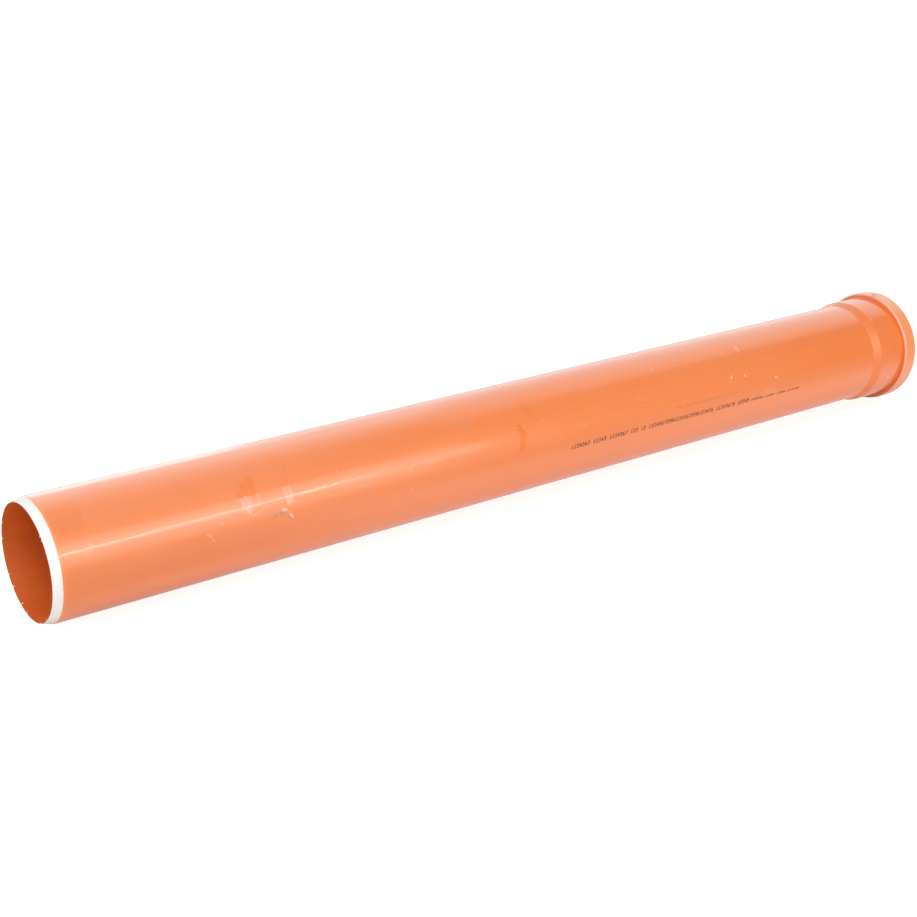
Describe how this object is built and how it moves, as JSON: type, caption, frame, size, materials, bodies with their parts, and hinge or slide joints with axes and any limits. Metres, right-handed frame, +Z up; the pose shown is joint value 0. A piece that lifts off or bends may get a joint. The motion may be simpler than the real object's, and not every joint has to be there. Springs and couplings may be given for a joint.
{
  "type": "pvc pipe",
  "caption": "Orange sewer pipe, one length: bevelled plain end that bares a white foamed core, and a flared push-fit socket whose raised bead houses a black rubber lip ring.",
  "frame": {"origin": "centre of the sawn end face of the plain end, on the pipe's axis", "axes": "+X along the axis from the plain end to the socket's mouth, +Z up with the pipe lying level"},
  "size_m": [1.07, 0.1256, 0.1258],
  "materials": {
    "orange_pvc": "satin",
    "black_rubber": "matt"
  },
  "bodies": {
    "root": {"pipe": "orange_pvc", "seal_ring": "black_rubber"}
  },
  "joints": []
}
